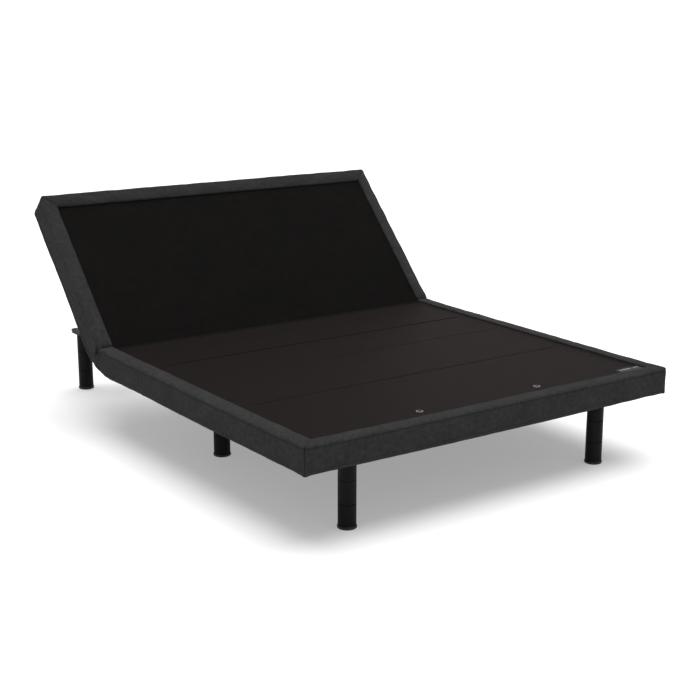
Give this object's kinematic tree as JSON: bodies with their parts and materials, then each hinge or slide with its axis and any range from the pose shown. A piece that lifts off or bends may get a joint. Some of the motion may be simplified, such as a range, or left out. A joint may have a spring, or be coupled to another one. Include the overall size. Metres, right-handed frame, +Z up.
{
  "type": "adjustable bed base",
  "caption": "Powered adjustable bed base with an upholstered deck that folds at the head, thigh and knee on a steel frame with screw-in legs.",
  "frame": {"origin": "on the floor, below the middle of the base's box as it stands with the head section raised", "axes": "+X across the bed to the right seen from the foot, +Y along the bed towards the head, +Z up"},
  "size_m": [1.511, 2.092, 0.8193],
  "materials": {
    "frame_paint": "satin",
    "leg_finish": "satin",
    "glide_plastic": "matte",
    "zinc_steel": "satin",
    "bumper_rubber": "matte",
    "covered_board": "matte",
    "rail_wood": "matte",
    "border_fabric": "matte",
    "nylon": "satin",
    "black_plastic": "matte",
    "actuator_aluminium": "satin",
    "rod_steel": "polished",
    "socket_metal": "satin"
  },
  "bodies": {
    "base_frame": {"frame_side_tube_left": "frame_paint", "frame_side_tube_right": "frame_paint", "frame_cross_tubes": "frame_paint", "leg_plates": "frame_paint", "leg_foot_left": "leg_finish", "leg_foot_right": "leg_finish", "leg_middle_pair": "leg_finish", "leg_head_left": "leg_finish", "leg_head_right": "leg_finish", "leg_studs": "zinc_steel", "leg_glides": "glide_plastic", "headboard_bracket_left": "frame_paint", "headboard_bracket_right": "frame_paint", "frame_bolts": "zinc_steel", "rest_bumpers": "bumper_rubber", "seat_board": "covered_board", "seat_subframe": "frame_paint", "seat_rails": "rail_wood", "seat_borders": "border_fabric", "seat_hinge_lugs": "frame_paint", "fold_hinge_pins": "zinc_steel", "lift_tube_bushes": "nylon", "actuator_mounts": "frame_paint", "frame_pivot_pins": "zinc_steel", "head_actuator_housing": "black_plastic", "head_actuator_tube": "actuator_aluminium", "thigh_actuator_housing": "black_plastic", "thigh_actuator_tube": "actuator_aluminium", "control_box": "black_plastic", "power_supply": "black_plastic"},
    "head_section": {"head_board": "covered_board", "head_subframe": "frame_paint", "head_rails": "rail_wood", "head_side_borders": "border_fabric", "head_end_border": "border_fabric", "head_hinge_lugs": "frame_paint", "head_roller_pads": "nylon"},
    "head_lift": {"head_lift_tube": "frame_paint"},
    "head_rollers": {"head_lift_rollers": "nylon"},
    "head_rod": {"head_actuator_rod": "rod_steel"},
    "thigh_section": {"thigh_board_upper": "covered_board", "thigh_board_lower": "covered_board", "thigh_subframe": "frame_paint", "thigh_rails": "rail_wood", "thigh_borders": "border_fabric", "thigh_hinge_lugs": "frame_paint", "knee_hinge_pins": "zinc_steel", "thigh_roller_pads": "nylon"},
    "thigh_lift": {"thigh_lift_tube": "frame_paint"},
    "thigh_rollers": {"thigh_lift_rollers": "nylon"},
    "thigh_rod": {"thigh_actuator_rod": "rod_steel"},
    "calf_section": {"calf_board": "covered_board", "calf_subframe": "frame_paint", "calf_rails": "rail_wood", "calf_side_borders": "border_fabric", "calf_foot_border": "border_fabric", "calf_hinge_lugs": "frame_paint", "calf_link_lugs": "frame_paint", "retainer_sockets": "socket_metal"},
    "calf_links": {"calf_links": "zinc_steel"}
  },
  "joints": [
    {"name": "head_hinge", "type": "hinge", "parent": "base_frame", "child": "head_section", "pos_m": [0, 0.303, 0.3195], "axis": [1, 0, 0], "range_deg": [-46.2, 13.8]},
    {"name": "head_lift_turn", "type": "hinge", "parent": "base_frame", "child": "head_lift", "pos_m": [0, 0.363, 0.266], "axis": [1, 0, 0], "range_deg": [-50.1, 15.1]},
    {"name": "head_rollers_spin", "type": "hinge", "parent": "head_lift", "child": "head_rollers", "pos_m": [0, 0.55625, 0.49546], "axis": [1, 0, 0], "continuous": true},
    {"name": "head_rod_slide", "type": "slide", "parent": "base_frame", "child": "head_rod", "axis": [0, 1, 0], "range_m": [-0.07808, 0.0236]},
    {"name": "thigh_hinge", "type": "hinge", "parent": "base_frame", "child": "thigh_section", "pos_m": [0, -0.016, 0.3195], "axis": [-1, 0, 0], "range_deg": [0, 35]},
    {"name": "calf_hinge", "type": "hinge", "parent": "thigh_section", "child": "calf_section", "pos_m": [0, -0.59, 0.3195], "axis": [-1, 0, 0], "range_deg": [-35.2, 0.2]},
    {"name": "calf_links_turn", "type": "hinge", "parent": "base_frame", "child": "calf_links", "pos_m": [0, -0.016, 0.266], "axis": [-1, 0, 0], "range_deg": [-0.2, 35.2]},
    {"name": "thigh_lift_turn", "type": "hinge", "parent": "base_frame", "child": "thigh_lift", "pos_m": [0, -0.066, 0.266], "axis": [-1, 0, 0], "range_deg": [-0.2, 39.68]},
    {"name": "thigh_rollers_spin", "type": "hinge", "parent": "thigh_lift", "child": "thigh_rollers", "pos_m": [0, -0.306, 0.266], "axis": [1, 0, 0], "continuous": true},
    {"name": "thigh_rod_slide", "type": "slide", "parent": "base_frame", "child": "thigh_rod", "axis": [0, -1, 0], "range_m": [-0.0004, 0.05773]}
  ],
  "couplings": [
    {"joint": "head_lift_turn", "follows": "head_hinge", "ratio": 1.08},
    {"joint": "head_rod_slide", "follows": "head_hinge", "m_per_rad": 0.096336},
    {"joint": "calf_hinge", "follows": "thigh_hinge", "ratio": -1},
    {"joint": "calf_links_turn", "follows": "thigh_hinge", "ratio": 1},
    {"joint": "thigh_lift_turn", "follows": "thigh_hinge", "ratio": 1.128},
    {"joint": "thigh_rod_slide", "follows": "thigh_hinge", "m_per_rad": 0.09385}
  ]
}
